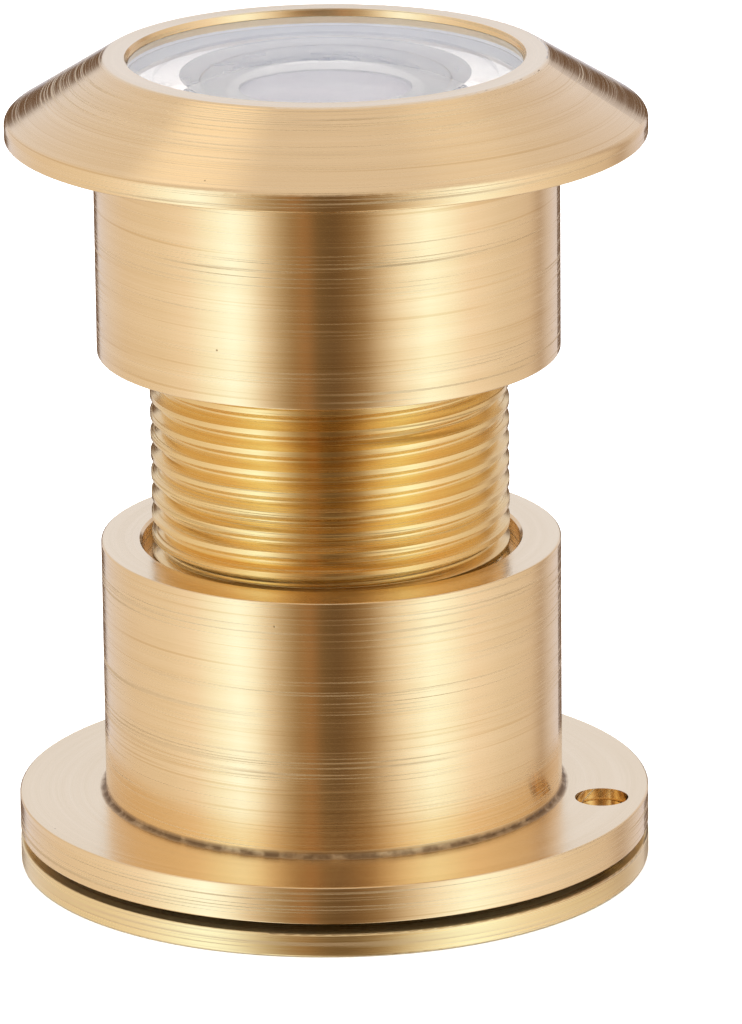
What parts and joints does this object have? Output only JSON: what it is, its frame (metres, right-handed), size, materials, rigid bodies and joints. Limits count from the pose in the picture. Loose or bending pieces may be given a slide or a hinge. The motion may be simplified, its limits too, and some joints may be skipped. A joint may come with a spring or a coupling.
{
  "type": "door viewer",
  "caption": "Brass door viewer: bevelled outdoor bezel with wide-angle lens, threaded tube screwing into a flanged inner barrel with eyepiece and a round swinging privacy cover.",
  "frame": {"origin": "centre of the privacy cover's room face, on the sight axis", "axes": "+Z along the sight axis from the room towards the outdoor lens; +X from the sight axis towards the cover's pivot"},
  "size_m": [0.039, 0.039, 0.0508],
  "materials": {
    "turned_brass": "fine turned finish, clear lacquer",
    "screw_brass": "polished",
    "ring_brass": "turned, unlacquered",
    "spring_steel": "satin",
    "lens_glass": "polished, ground edge",
    "coated_glass": "polished, bluish coating",
    "cell_plastic": "matt moulded",
    "black_plastic": "matt moulded",
    "spacer_aluminium": "satin turned"
  },
  "bodies": {
    "inner_half": {"inner_barrel": "turned_brass", "eyepiece_lens": "lens_glass", "eyepiece_ring": "ring_brass"},
    "cover": {"cover_plate": "turned_brass", "pivot_screw": "screw_brass", "spring_washer": "spring_steel"},
    "lens_carrier": {"front_lens": "lens_glass"},
    "outer_half": {"outer_barrel": "turned_brass", "lens_cell": "cell_plastic", "second_lens": "coated_glass", "lens_spacer": "spacer_aluminium", "third_lens": "coated_glass", "cell_ring": "black_plastic"}
  },
  "joints": [
    {"name": "cover_swing", "type": "hinge", "parent": "inner_half", "child": "cover", "pos_m": [0.01685, 0, 0.00176], "axis": [0, 0, 1], "continuous": true},
    {"name": "barrel_advance", "type": "slide", "parent": "inner_half", "child": "lens_carrier", "axis": [0, 0, 1], "range_m": [-0.00572, 0.00254]},
    {"name": "barrel_turn", "type": "hinge", "parent": "lens_carrier", "child": "outer_half", "pos_m": [0, 0, 0.0393], "axis": [0, 0, 1], "range_deg": [-1620, 720]}
  ],
  "couplings": [
    {"joint": "barrel_advance", "follows": "barrel_turn", "m_per_rad": 0.00020213}
  ]
}
